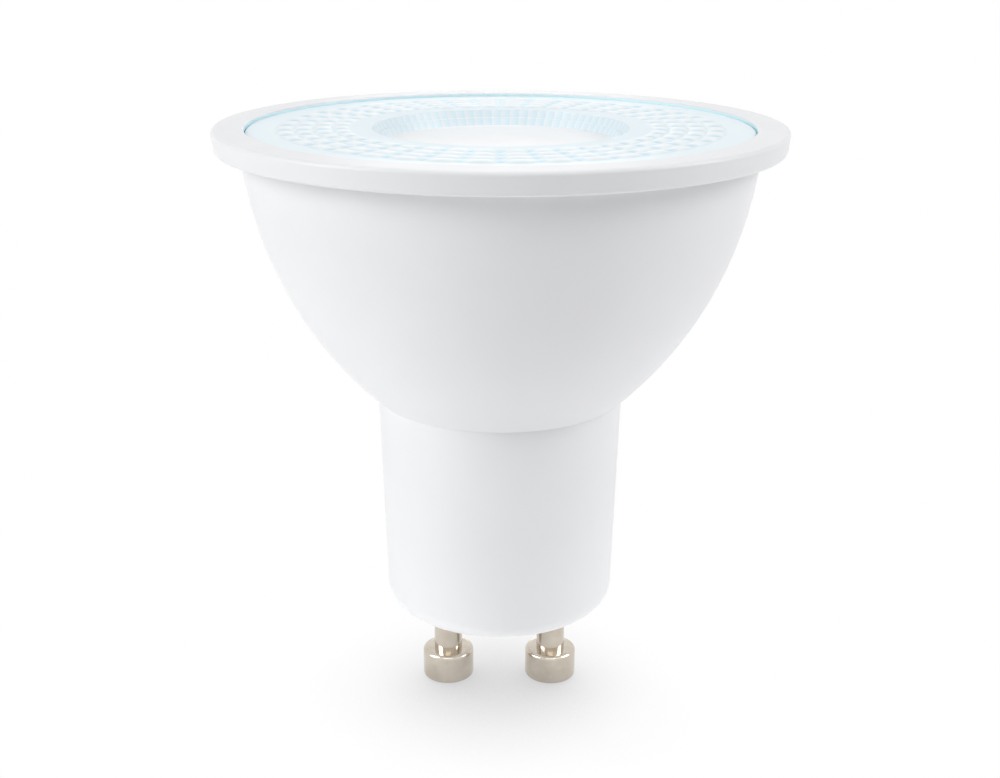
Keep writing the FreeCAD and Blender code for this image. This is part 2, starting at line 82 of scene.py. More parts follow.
def arcCentre(low, high, radius):
    # Centre of the arc through both points, on the side towards the axis and the top
    run, rise = high[0] - low[0], high[1] - low[1]
    halfChord = math.hypot(run, rise) / 2
    reach = math.sqrt(radius ** 2 - halfChord ** 2) / (2 * halfChord)
    return ((low[0] + high[0]) / 2 - reach * rise, (low[1] + high[1]) / 2 + reach * run)


def spinOutline(corners, steps, roundSegments):
    # Half section from (radius, height, rounding) corners, rounded and spun about the Z axis
    bm = bmesh.new()
    verts = [bm.verts.new((r * mm, 0, z * mm)) for r, z, rounding in corners]
    for start, end in zip(verts, verts[1:]):
        bm.edges.new((start, end))
    for vert, (r, z, rounding) in zip(verts, corners):
        if rounding:
            bmesh.ops.bevel(bm, geom=[vert], offset=rounding * mm, segments=roundSegments, profile=0.5,
                            affect="VERTICES", material=-1)
    bmesh.ops.spin(bm, geom=bm.verts[:] + bm.edges[:], cent=(0, 0, 0), axis=(0, 0, 1), dvec=(0, 0, 0),
                   angle=fullTurn, steps=steps, use_merge=True)
    bmesh.ops.remove_doubles(bm, verts=bm.verts[:], dist=mergeDistance)
    bmesh.ops.recalc_face_normals(bm, faces=bm.faces[:])
    return bm


def uprightTool(x, radius, low, high, segments):
    # Upright cylinder to add or cut with
    bm = bmesh.new()
    place = Matrix.Translation((x * mm, 0, (low + high) / 2 * mm))
    bmesh.ops.create_cone(bm, cap_ends=True, segments=segments, radius1=radius * mm, radius2=radius * mm,
                          depth=(high - low) * mm, matrix=place)
    return bm


def boxTool(side, low, high):
    # Box to add or cut with, between two corners on the right and mirrored for the left
    lowCorner, highCorner = Vector(low) * mm, Vector(high) * mm
    middle, size = (lowCorner + highCorner) / 2, highCorner - lowCorner
    middle.x *= side
    bm = bmesh.new()
    bmesh.ops.create_cube(bm, size=1, matrix=Matrix.Translation(middle) @ Matrix.Diagonal((*size, 1)))
    return bm


def joinTools(bm, tools, operation):
    # Adds the tools to the mesh or cuts them out of it, with exact Booleans
    holders = []
    for source in [bm] + tools:
        mesh = bpy.data.meshes.new("joining")
        source.to_mesh(mesh)
        source.free()
        holders.append(bpy.data.objects.new("joining", mesh))
        bpy.context.scene.collection.objects.link(holders[-1])
    for tool in holders[1:]:
        cut = holders[0].modifiers.new("joining", "BOOLEAN")
        cut.operation, cut.solver, cut.object = operation, "EXACT", tool
    made = holders[0].evaluated_get(bpy.context.evaluated_depsgraph_get()).to_mesh()
    result = bmesh.new()
    result.from_mesh(made)
    bmesh.ops.remove_doubles(result, verts=result.verts[:], dist=mergeDistance)
    for holder in holders:
        mesh = holder.data
        bpy.data.objects.remove(holder)
        bpy.data.meshes.remove(mesh)
    return result


def shadeSmooth(bm, sharpDegrees):
    for face in bm.faces:
        face.smooth = True
    for edge in bm.edges:
        edge.smooth = edge.calc_face_angle(0) < math.radians(sharpDegrees)


def finishPiece(name, bm, materials, replacedNode):
    # Turns the bmesh into an object that rides on the bulb and stands for its node
    mesh = bpy.data.meshes.new(name)
    bm.to_mesh(mesh)
    bm.free()
    for material in materials:
        mesh.materials.append(material)
    piece = bpy.data.objects.new(name, mesh)
    bpy.context.scene.collection.objects.link(piece)
    evenNormals = piece.modifiers.new("evenNormals", "WEIGHTED_NORMAL")
    evenNormals.keep_sharp = True
    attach(piece, "root")
    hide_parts(replacedNode)
    print(name, "has", len(mesh.polygons), "faces")
    return piece


# Material helpers

noiseRange = (0.3, 0.7)


def newMaterial(name):
    material = bpy.data.materials.new(name)
    material.use_nodes = True
    tree = material.node_tree
    return material, tree, tree.nodes["Principled BSDF"]


def setSockets(tree, node, sockets):
    # A socket in the dictionary is linked, and anything else is set as the plain value
    for name, value in sockets.items():
        if isinstance(value, bpy.types.NodeSocket):
            tree.links.new(value, node.inputs[name])
        else:
            node.inputs[name].default_value = value


def addNode(tree, kind, sockets=None, **settings):
    node = tree.nodes.new("ShaderNode" + kind)
    for name, value in settings.items():
        setattr(node, name, value)
    setSockets(tree, node, sockets or {})
    return node


def addGroup(tree, group, sockets=None):
    node = tree.nodes.new("ShaderNodeGroup")
    node.node_tree = group
    setSockets(tree, node, sockets or {})
    return node


def ranged(tree, value, low, high):
    return addNode(tree, "MapRange", {"Value": value, "To Min": low, "To Max": high}).outputs["Result"]


def blended(tree, share, colourA, colourB):
    # Each colour is a socket or three plain values
    first, second = (colour if isinstance(colour, bpy.types.NodeSocket) else (*colour, 1)
                     for colour in (colourA, colourB))
    return addNode(tree, "MixRGB", {"Fac": share, "Color1": first, "Color2": second}).outputs["Color"]


def bumped(tree, height, strength, distance):
    sockets = {"Height": height, "Strength": strength, "Distance": distance * mm}
    return addNode(tree, "Bump", sockets).outputs["Normal"]


def objectPlace(tree):
    return addNode(tree, "SeparateXYZ", {"Vector": addNode(tree, "TexCoord").outputs["Object"]}).outputs


def calculated(tree, operation, *values):
    return addNode(tree, "Math", dict(enumerate(values)), operation=operation).outputs[0]


def flatRadius(tree, x, y):
    flat = addNode(tree, "CombineXYZ", {"X": x, "Y": y}).outputs[0]
    return addNode(tree, "VectorMath", {0: flat}, operation="LENGTH").outputs["Value"]


def fromWhole(tree, count):
    # 0 at each whole number, and 1 halfway between two
    return calculated(tree, "MULTIPLY", calculated(tree, "PINGPONG", count, 0.5), 2.0)


def spreadNoise(tree, place, size, detail):
    # Noise of a size in mm, its usual range stretched to 0 to 1
    scale = calculated(tree, "DIVIDE", 1 / mm, size)
    noise = addNode(tree, "TexNoise", {"Vector": place, "Scale": scale, "Detail": detail}).outputs["Fac"]
    low, high = noiseRange
    return addNode(tree, "MapRange", {"Value": noise, "From Min": low, "From Max": high}).outputs["Result"]


def newGroup(name, inputs, outputs):
    group = bpy.data.node_groups.new(name, "ShaderNodeTree")
    for socket in inputs:
        group.interface.new_socket(socket, in_out="INPUT", socket_type="NodeSocketFloat")
    for socket in outputs:
        group.interface.new_socket(socket, in_out="OUTPUT", socket_type="NodeSocketFloat")
    return group, group.nodes.new("NodeGroupInput").outputs, group.nodes.new("NodeGroupOutput")


# Shader groups

def makeGrainGroup():
    # Cloudy variation: Grain is fine, Cloud is broad. Both are about 0 to 1, and the sizes are in mm
    group, given, out = newGroup("mouldGrain", ("Grain Size", "Cloud Size"), ("Grain", "Cloud"))
    place = addNode(group, "TexCoord").outputs["Object"]
    setSockets(group, out, {
        "Grain": spreadNoise(group, place, given["Grain Size"], 3.0),
        "Cloud": spreadNoise(group, place, given["Cloud Size"], 2.0),
    })
    return group


def makeTurnedGroup():
    # Fine rings left by turning or spinning, about an upright axis at plus or minus Axis on X
    group, given, out = newGroup("turnedRings", ("Axis", "Ring Size"), ("Rings",))
    place = objectPlace(group)
    axis = calculated(group, "MULTIPLY", given["Axis"], mm)
    fromAxis = calculated(group, "SUBTRACT", calculated(group, "ABSOLUTE", place["X"]), axis)
    radius = flatRadius(group, fromAxis, place["Y"])
    section = addNode(group, "CombineXYZ", {"X": radius, "Z": place["Z"]}).outputs[0]
    setSockets(group, out, {"Rings": spreadNoise(group, section, given["Ring Size"], 4.0)})
    return group


def makeFacetGroup():
    # Place within a facet of a ring of them: Across runs 0 to 1, Middle is 0 at its sides and 1 between
    group, given, out = newGroup("facetPlace", ("Facets",), ("Across", "Middle"))
    place = objectPlace(group)
    turns = calculated(group, "DIVIDE", calculated(group, "ARCTAN2", place["Y"], place["X"]), fullTurn)
    count = calculated(group, "MULTIPLY", turns, given["Facets"])
    across = calculated(group, "FRACT", count)
    setSockets(group, out, {"Across": across, "Middle": fromWhole(group, count)})
    return group


def makePillowGroup():
    # Mask of painted shade on pillow facets: Sides is 1 in the groove beside the middle of a pillow facet,
    # and 0 on its crown and at its corners
    inputs = ("Columns", "Outer", "Pitch", "Reach", "Ring Share")
    group, given, out = newGroup("paintedFacetShade", inputs, ("Sides",))
    place = objectPlace(group)
    radius = calculated(group, "DIVIDE", flatRadius(group, place["X"], place["Y"]), mm)
    inwards = calculated(group, "SUBTRACT", given["Outer"], radius)
    inRing = fromWhole(group, calculated(group, "DIVIDE", inwards, given["Pitch"]))
    inColumn = addGroup(group, facetPlace, {"Facets": given["Columns"]}).outputs["Middle"]
    grooves = []
    for across, along in ((inColumn, inRing), (inRing, inColumn)):
        near = addNode(group, "MapRange", {"Value": across, "From Max": given["Reach"],
                                           "To Min": 1.0, "To Max": 0.0}).outputs["Result"]
        crown = calculated(group, "MULTIPLY", along, calculated(group, "SUBTRACT", 2.0, along))
        grooves.append(calculated(group, "MULTIPLY", near, crown))
    ringGroove = calculated(group, "MULTIPLY", grooves[1], given["Ring Share"])
    setSockets(group, out, {"Sides": calculated(group, "MAXIMUM", grooves[0], ringGroove)})
    return group


mouldGrain = makeGrainGroup()
turnedRings = makeTurnedGroup()
facetPlace = makeFacetGroup()
paintedFacetShade = makePillowGroup()


# White moulded body

bodyLow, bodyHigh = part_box("housing")
bulbBody = {
    "neckRadius": 10.6,
    "neckDraft": 0.6,
    "neckLength": 20.6,
    "neckEdgeRound": 2.0,
    "bowlTopRadius": 22.6,
    "bowlArcRadius": 34.5,
    "rimRadius": 25.0,
    "rimLand": 2.82,
    "rimThickness": 1.9,
    "rimDraft": 0.25,
    "rimRound": 0.4,
    "rimUnderRound": 0.3,
    "openingRound": 0.15,
    "ledgeDepth": 1.1,
    "wall": 1.4,
    "baseFloor": 2.2,
    "spinSteps": 240,
    "bowlSteps": 40,
    "roundSegments": 8,
    "sharpDegrees": 20,
    "pinSpacing": 10.0,
    "bossRadius": 2.4,
    "bossTop": 12.4,
    "pinHoleRadius": 1.15,
    "guideLow": (7.38, -3.0, 10.9),
    "guideHigh": (9.9, 0.0, 25.5),
    "slotLow": (6.8, -2.1, 13.5),
    "slotHigh": (8.68, -0.9, 26.5),
    "toolSteps": 64,
    "toolOverlap": 0.3,
    "cutPast": 1.0,
    "faceTolerance": 0.02,
    "colours": ((0.80, 0.805, 0.82), (0.787, 0.792, 0.807)),
    "paintedGlowColours": ((0.68, 0.93, 0.99), (0.72, 0.94, 0.99)),   # painted glow: blue light that the lens carries to its edge, painted on the opening's wall
    "roughness": (0.36, 0.46),
    "grainSize": 0.25,
    "cloudSize": 9.0,
    "grainDepth": 0.004,
    "grainStrength": 0.3,
    "ior": 1.5,
}


def makeWhitePlastic(s, name, colours):
    material, tree, shader = newMaterial(name)
    grain = addGroup(tree, mouldGrain, {"Grain Size": s["grainSize"], "Cloud Size": s["cloudSize"]})
    setSockets(tree, shader, {
        "Base Color": blended(tree, grain.outputs["Cloud"], *colours),
        "Roughness": ranged(tree, grain.outputs["Cloud"], *s["roughness"]),
        "Normal": bumped(tree, grain.outputs["Grain"], s["grainStrength"], s["grainDepth"]),
        "IOR": s["ior"],
    })
    return material


def makeBulbBody(s):
    base, top = bodyLow.z / mm, bodyHigh.z / mm
    junction, rimUnder, ledge = base + s["neckLength"], top - s["rimThickness"], top - s["ledgeDepth"]
    neckTop = s["neckRadius"] + s["neckDraft"]
    opening = s["rimRadius"] - s["rimLand"]
    floorTop = base + s["baseFloor"]
    bowlFoot, bowlRim = (neckTop, junction), (s["bowlTopRadius"], rimUnder)
    centre = arcCentre(bowlFoot, bowlRim, s["bowlArcRadius"])
    innerArc = s["bowlArcRadius"] - s["wall"]
    innerRim = (centre[0] + math.sqrt(innerArc ** 2 - (ledge - centre[1]) ** 2), ledge)
    boreTopRadius = neckTop - s["wall"]
    boreTop = (boreTopRadius, centre[1] - math.sqrt(innerArc ** 2 - (boreTopRadius - centre[0]) ** 2))
    corners = [(0, base, 0), (s["neckRadius"], base, s["neckEdgeRound"]), (*bowlFoot, 0)]
    corners += arcPoints(centre, bowlFoot, bowlRim, s["bowlSteps"])
    corners += [
        (s["rimRadius"] - s["rimDraft"], rimUnder, s["rimUnderRound"]),
        (s["rimRadius"], top, s["rimRound"]),
        (opening, top, s["openingRound"]),
        (opening, ledge, 0),
        (*innerRim, 0),
    ]
    corners += arcPoints(centre, innerRim, boreTop, s["bowlSteps"])
    corners += [(s["neckRadius"] - s["wall"], floorTop, 0), (0, floorTop, 0)]
    bm = spinOutline(corners, s["spinSteps"], s["roundSegments"])
    added, removed = [], []
    bossFoot = floorTop - s["toolOverlap"]
    holeFoot, holeTop = base - s["cutPast"], s["bossTop"] + s["cutPast"]
    for side in (-1, 1):
        at = side * s["pinSpacing"] / 2
        added.append(uprightTool(at, s["bossRadius"], bossFoot, s["bossTop"], s["toolSteps"]))
        added.append(boxTool(side, s["guideLow"], s["guideHigh"]))
        removed.append(boxTool(side, s["slotLow"], s["slotHigh"]))
        removed.append(uprightTool(at, s["pinHoleRadius"], holeFoot, holeTop, s["toolSteps"]))
    bm = joinTools(joinTools(bm, added, "UNION"), removed, "DIFFERENCE")
    shadeSmooth(bm, s["sharpDegrees"])
    # Faces of the opening's wall above the ledge take the second finish, a painted blue glow standing in
    # for light the lens carries to its edge
    for face in bm.faces:
        middle = face.calc_center_median() / mm
        offOpening = abs(math.hypot(middle.x, middle.y) - opening)
        if offOpening < s["faceTolerance"] and ledge < middle.z < top - s["openingRound"]:
            face.material_index = 1
    # The second finish is the painted glow of the opening's wall
    white = makeWhitePlastic(s, "whitePlastic", s["colours"])
    edge = makeWhitePlastic(s, "paintedGlowPlastic", s["paintedGlowColours"])
    return finishPiece("bulbBody", bm, [white, edge], "housing")


makeBulbBody(bulbBody)


# Clear lens with pillow facets and a stepped well

lensLow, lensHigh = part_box("lens")
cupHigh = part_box("heat_sink_cup")[1]
clearLens = {
    "edgeRound": 0.2,
    "borderThickness": 0.8,
    "recess": 0.3,
    "facetBorder": 2.5,
    "facetPitch": 1.625,
    "facetRise": 0.17,
    "facetRings": 4,
    "facetColumns": 40,
    "facetSteps": 6,
    "wellLand": 1.85,
    "wellFacets": 80,
    "tierDepth": 0.66,
    "tierLean": 0.35,
    "tierStep": 0.15,
    "cupWall": 0.9,
    "bodyGap": 0.5,
    "sideArcRadius": 45.0,
    "hollowRadius": 7.1,
    "hollowTaper": 0.3,
    "hollowDepth": 6.0,
    "hollowBulge": 0.8,
    "footWidth": 1.5,
    "edgeSteps": 3,
    "sideSteps": 16,
    "roofSteps": 8,
    "sharpDegrees": 24,
    "grainSize": 0.3,
    "cloudSize": 4.0,
    "bumpStrength": 0.2,
    "bumpDepth": 0.01,
    "ior": 1.49,
    "sideReach": 0.5,             # share of the half facet that its painted shade takes up
    "ringShare": 0.4,             # strength of the painted shade between rings, against that between columns
    # Finish of each zone: what its mask is, and the colours that the mask runs between
    "zones": {
        "lensBorder": {"mask": "Cloud", "colours": ((0.80, 0.92, 0.97), (0.83, 0.93, 0.97)),
                       "transmission": 0.08, "roughness": (0.28, 0.36)},
        # The facets' second colour is painted shade in the grooves beside each pillow's middle, standing
        # in for how light falls on and bends through the facet sides
        "lensFacets": {"mask": "Sides", "colours": ((0.88, 0.93, 0.955), (0.49, 0.73, 0.86)),
                       "transmission": 0.08, "roughness": (0.32, 0.40)},
        # The wall's colours run across each flat facet from bluer to paler: painted shade standing in for
        # light falling on the fluted wall
        "lensWall": {"mask": "Across", "colours": ((0.72, 0.89, 0.97), (0.90, 0.95, 0.98)),
                     "transmission": 0.15, "roughness": (0.36, 0.46)},
        "lensFloor": {"mask": "Cloud", "colours": ((0.97, 0.98, 0.99), (0.95, 0.97, 0.985)),
                      "transmission": 0.12, "roughness": (0.4, 0.55)},
        "lensLand": {"mask": "Cloud", "colours": ((0.82, 0.93, 0.98), (0.85, 0.94, 0.985)),
                     "transmission": 0.15, "roughness": (0.42, 0.52)},
    },
}


def makeLensPlastic(name, zone, s, facetOuter):
    material, tree, shader = newMaterial(name)
    sizes = {"Grain Size": s["grainSize"], "Cloud Size": s["cloudSize"]}
    cloud = addGroup(tree, mouldGrain, sizes).outputs["Cloud"]
    mask = cloud
    # Across masks the painted shade across each flat facet of the well's wall
    if zone["mask"] == "Across":
        mask = addGroup(tree, facetPlace, {"Facets": s["wellFacets"]}).outputs["Across"]
    # Sides masks the painted shade on the pillow facets' sides
    if zone["mask"] == "Sides":
        pillow = {"Columns": s["facetColumns"], "Outer": facetOuter, "Pitch": s["facetPitch"],
                  "Reach": s["sideReach"], "Ring Share": s["ringShare"]}
        mask = addGroup(tree, paintedFacetShade, pillow).outputs["Sides"]
    setSockets(tree, shader, {
        "Base Color": blended(tree, mask, *zone["colours"]),
        "Roughness": ranged(tree, cloud, *zone["roughness"]),
        "Normal": bumped(tree, cloud, s["bumpStrength"], s["bumpDepth"]),
        "IOR": s["ior"],
        "Transmission Weight": zone["transmission"],
    })
    return material


def addRing(bm, edges, place):
    # Extrudes a loop of edges, and puts each new vertex where its angle says on the next ring
    made = bmesh.ops.extrude_edge_only(bm, edges=edges)["geom"]
    for vert in made:
        if isinstance(vert, bmesh.types.BMVert):
            angle = math.atan2(vert.co.y, vert.co.x) % fullTurn
            r, z = place(angle)
            vert.co = Vector((r * math.cos(angle), r * math.sin(angle), z)) * mm
    newEdges = [e for e in made if isinstance(e, bmesh.types.BMEdge)]
    newFaces = [f for f in made if isinstance(f, bmesh.types.BMFace)]
    return newEdges, newFaces


def roundRing(r, z):
    return lambda angle: (r, z)


def sidedRing(r, z, sides):
    # Ring with straight sides, its corners at radius r
    side = fullTurn / sides
    return lambda angle: (r * math.cos(side / 2) / math.cos(angle % side - side / 2), z)


def pillowRing(s, outer, top, step):
    # One ring of the facet zone, counted in steps inwards from its outer edge
    across = 4 * (step / s["facetSteps"] % 1) * (1 - step / s["facetSteps"] % 1)

    def place(angle):
        column = angle * s["facetColumns"] / fullTurn
        along = round((column % 1) * s["facetSteps"]) / s["facetSteps"] % 1
        height = s["facetRise"] * across * 4 * along * (1 - along)
        return outer - s["facetPitch"] * step / s["facetSteps"], top + height
    return place


def makeClearLens(s):
    radius, top = lensHigh.x / mm, bodyHigh.z / mm - s["recess"]
    ledge, bottom = top - s["borderThickness"], lensLow.z / mm
    facetOuter = radius - s["facetBorder"]
    facetInner = facetOuter - s["facetRings"] * s["facetPitch"]
    bm = bmesh.new()
    bmesh.ops.create_circle(bm, cap_ends=False, radius=(radius - s["edgeRound"]) * mm,
                            segments=s["facetColumns"] * s["facetSteps"])
    bmesh.ops.translate(bm, vec=(0, 0, top * mm), verts=bm.verts[:])
    firstEdges = bm.edges[:]

    # Top: border, facets, land, and the two walls of the well with its floor
    loop, faces = addRing(bm, firstEdges, roundRing(facetOuter, top))
    facetFaces = []
    for step in range(1, s["facetRings"] * s["facetSteps"] + 1):
        loop, faces = addRing(bm, loop, pillowRing(s, facetOuter, top, step))
        facetFaces += faces
    well = facetInner - s["wellLand"]
    middle, floor = top - s["tierDepth"], top - 2 * s["tierDepth"]
    loop, landFaces = addRing(bm, loop, sidedRing(well, top, s["wellFacets"]))
    upperFoot = well - s["tierLean"]
    lowerMouth = upperFoot - s["tierStep"]
    loop, wallFaces = addRing(bm, loop, sidedRing(upperFoot, middle, s["wellFacets"]))
    loop, faces = addRing(bm, loop, sidedRing(lowerMouth, middle, s["wellFacets"]))
    loop, lowerFaces = addRing(bm, loop, sidedRing(lowerMouth - s["tierLean"], floor, s["wellFacets"]))
    wallFaces += lowerFaces
    loop, floorFaces = addRing(bm, loop, roundRing(0, floor))

    # Underside: edge, ledge, flared side, foot, hollow and its bulged roof
    shoulder = (cupHigh.x / mm - s["cupWall"] - s["bodyGap"], ledge)
    foot = (s["hollowRadius"] + s["footWidth"], bottom)
    edgeCentre = (radius - s["edgeRound"], top - s["edgeRound"])
    roofEdge = (s["hollowRadius"] - s["hollowTaper"], bottom + s["hollowDepth"])
    roofRadius = (roofEdge[0] ** 2 + s["hollowBulge"] ** 2) / (2 * s["hollowBulge"])
    roofTop = (0, roofEdge[1] - s["hollowBulge"])
    sideCentre = arcCentre(foot, shoulder, s["sideArcRadius"])
    outline = arcPoints(edgeCentre, (edgeCentre[0], top), (radius, edgeCentre[1]), s["edgeSteps"])
    outline += [(radius, ledge, 0), (*shoulder, 0)]
    outline += arcPoints(sideCentre, shoulder, foot, s["sideSteps"])
    outline += [(s["hollowRadius"], bottom, 0), (*roofEdge, 0)]
    outline += arcPoints((0, roofTop[1] + roofRadius), roofEdge, roofTop, s["roofSteps"])
    loop = firstEdges
    for r, z, rounding in outline:
        loop, faces = addRing(bm, loop, roundRing(r, z))

    for zone, zoneFaces in enumerate((facetFaces, wallFaces, floorFaces, landFaces), 1):
        for face in zoneFaces:
            face.material_index = zone
    shadeSmooth(bm, s["sharpDegrees"])
    for face in wallFaces:
        face.smooth = False
    bmesh.ops.remove_doubles(bm, verts=bm.verts[:], dist=mergeDistance)
    bmesh.ops.recalc_face_normals(bm, faces=bm.faces[:])
    finishes = [makeLensPlastic(name, zone, s, facetOuter) for name, zone in s["zones"].items()]
    return finishPiece("clearLens", bm, finishes, "lens")


makeClearLens(clearLens)


# Turned contact pins

contactPins = {
    "spacing": 10.0,
    "headRadius": 2.45,
    "headHeight": 2.95,
    "headRound": 0.35,
    "shankRadius": 1.35,
    "shoulder": 0.25,
    "rivetLip": 0.9,
    "rivetHeight": 0.6,
    "boreRadius": 0.55,
    "boreDepth": 3.0,
    "spinSteps": 96,
    "roundSegments": 6,
    "sharpDegrees": 30,
    "colour": (0.66, 0.60, 0.52),
    "colourShade": (0.57, 0.51, 0.43),
    "roughness": (0.07, 0.17),
    "grainSize": 0.3,
    "cloudSize": 1.6,
    "ringSize": 0.12,
    "ringDepth": 0.0015,
    "ringStrength": 0.4,
}


def makeNickel(s):
    material, tree, shader = newMaterial("nickelPlate")
    grain = addGroup(tree, mouldGrain, {"Grain Size": s["grainSize"], "Cloud Size": s["cloudSize"]})
    turned = addGroup(tree, turnedRings, {"Axis": s["spacing"] / 2, "Ring Size": s["ringSize"]})
    setSockets(tree, shader, {
        "Base Color": blended(tree, grain.outputs["Cloud"], s["colour"], s["colourShade"]),
        "Metallic": 1.0,
        "Roughness": ranged(tree, turned.outputs["Rings"], *s["roughness"]),
        "Normal": bumped(tree, turned.outputs["Rings"], s["ringStrength"], s["ringDepth"]),
    })
    return material


def makeContactPin(s, name, side, material):
    low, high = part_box("contact_pin_" + name)
    base, rivetTop = bodyLow.z / mm, high.z / mm
    tail = s["shankRadius"] - s["shoulder"]
    rivet = tail + s["rivetLip"]
    rivetFoot = rivetTop - s["rivetHeight"]
    bm = spinOutline([
        (0, 0, 0),
        (s["headRadius"], 0, s["headRound"]),
        (s["headRadius"], s["headHeight"], s["headRound"]),
        (s["shankRadius"], s["headHeight"], 0),
        (s["shankRadius"], base, 0),
        (tail, base, 0),
        (tail, rivetFoot, 0),
        (rivet, rivetFoot, 0),
        (rivet, rivetTop, 0),
        (s["boreRadius"], rivetTop, 0),
        (s["boreRadius"], rivetTop - s["boreDepth"], 0),
        (0, rivetTop - s["boreDepth"], 0),
    ], s["spinSteps"], s["roundSegments"])
    bmesh.ops.translate(bm, vec=(side * s["spacing"] / 2 * mm, 0, 0), verts=bm.verts[:])
    shadeSmooth(bm, s["sharpDegrees"])
    return finishPiece("contactPin" + name.capitalize(), bm, [material], "contact_pin_" + name)


nickelPlate = makeNickel(contactPins)
for pinName, pinSide in (("left", -1), ("right", 1)):
    makeContactPin(contactPins, pinName, pinSide, nickelPlate)


# Marks on the pieces inside, in mm

insideMarks = {
    "coilPitch": 0.3,
    "traceSize": (9.5, 0.85),
    "traceWidth": 0.07,
    "traceSoftness": 0.3,
    "traceLayout": {"offset": 0.37, "offset_frequency": 3, "squash": 0.45, "squash_frequency": 4},
    "ledCount": 6,
    "dishRadius": 1.05,
    "stripeShare": 0.3,           # of half the can's width
    "bandPitch": 1.1,
    "bandShare": 0.4,
    "reliefStrength": 0.4,
    "bareColour": (0.70, 0.70, 0.69),
    # Bare metal past these distances from the lower and upper end of a piece that is otherwise coated
    "bareEnds": {
        "bridge_rectifier": (0.6, 0.6),
        "driver_chip": (0.6, 0.6),
        "flyback_diode": (0.6, 0.6),
        "fuse_resistor": (1.25, 1.25),
        "bulk_capacitor": (1.25, 0.06),
        "output_capacitor": (1.25, 0.06),
    },
}


def coilLines(tree, node, s):
    waveFactor = 20               # the wave texture multiplies its scale by this
    scale = fullTurn / (waveFactor * s["coilPitch"] * mm)
    place = addNode(tree, "TexCoord").outputs["Object"]
    return addNode(tree, "TexWave", {"Vector": place, "Scale": scale}, bands_direction="Y").outputs["Fac"]


def boardTraces(tree, node, s):
    # Tracks run up the board, in rows of uneven length
    place = objectPlace(tree)
    flat = addNode(tree, "CombineXYZ", {"X": place["Z"], "Y": place["X"]}).outputs[0]
    length, apart = s["traceSize"]
    sockets = {"Vector": flat, "Scale": 1 / mm, "Mortar Size": s["traceWidth"],
               "Mortar Smooth": s["traceSoftness"], "Brick Width": length, "Row Height": apart}
    return addNode(tree, "TexBrick", sockets, **s["traceLayout"]).outputs["Fac"]


def ledDish(tree, node, s):
    # Inside the round dish of whichever light source of the ring is nearest, by the law of cosines
    low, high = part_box("led_1")
    ring = ((low + high) / 2).to_2d().length
    place = objectPlace(tree)
    across = addGroup(tree, facetPlace, {"Facets": s["ledCount"]}).outputs["Across"]
    fromLed = calculated(tree, "SUBTRACT", across, 0.5)
    turn = calculated(tree, "MULTIPLY", fromLed, fullTurn / s["ledCount"])
    radius = flatRadius(tree, place["X"], place["Y"])
    squares = calculated(tree, "MULTIPLY_ADD", radius, radius, ring ** 2)
    product = calculated(tree, "MULTIPLY", radius, calculated(tree, "COSINE", turn))
    apart = calculated(tree, "MULTIPLY_ADD", product, -2 * ring, squares)
    return calculated(tree, "LESS_THAN", apart, (s["dishRadius"] * mm) ** 2)


def canStripe(tree, node, s):
    low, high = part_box(node)
    half = (high.x - low.x) / 2 * s["stripeShare"]
    return calculated(tree, "COMPARE", objectPlace(tree)["X"], (low.x + high.x) / 2, half)


def colourBands(tree, node, s):
    along = calculated(tree, "DIVIDE", objectPlace(tree)["Z"], s["bandPitch"] * mm)
    return calculated(tree, "LESS_THAN", calculated(tree, "FRACT", along), s["bandShare"])


def bareEnd(tree, node, s):
    low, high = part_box(node)
    below, above = s["bareEnds"][node]
    height = objectPlace(tree)["Z"]
    under = calculated(tree, "LESS_THAN", height, low.z + below * mm)
    over = calculated(tree, "GREATER_THAN", height, high.z - above * mm)
    return calculated(tree, "MAXIMUM", under, over)


def makeInsideFinish(name, node, s, marks):
    material, tree, shader = newMaterial(name)
    grain = addGroup(tree, mouldGrain, {"Grain Size": s["grain"], "Cloud Size": s["cloud"]})
    colour = blended(tree, grain.outputs["Cloud"], *s["colours"])
    relief, metallic = grain.outputs["Grain"], s["metallic"]
    if "mark" in s:
        mark = s["mark"](tree, node, marks)
        colour = blended(tree, mark, colour, s["markColour"])
    if s.get("markRelief"):
        relief = mark
    if "rings" in s:
        relief = addGroup(tree, turnedRings, {"Axis": 0, "Ring Size": s["rings"]}).outputs["Rings"]
    if node in marks["bareEnds"]:
        metallic = bareEnd(tree, node, marks)
        colour = blended(tree, metallic, colour, marks["bareColour"])
    setSockets(tree, shader, {
        "Base Color": colour,
        "Metallic": metallic,
        "Roughness": ranged(tree, grain.outputs["Grain"], *s["roughness"]),
        "Normal": bumped(tree, relief, marks["reliefStrength"], s["depth"]),
    })
    return material


# Finishes of the pieces inside, by material slot

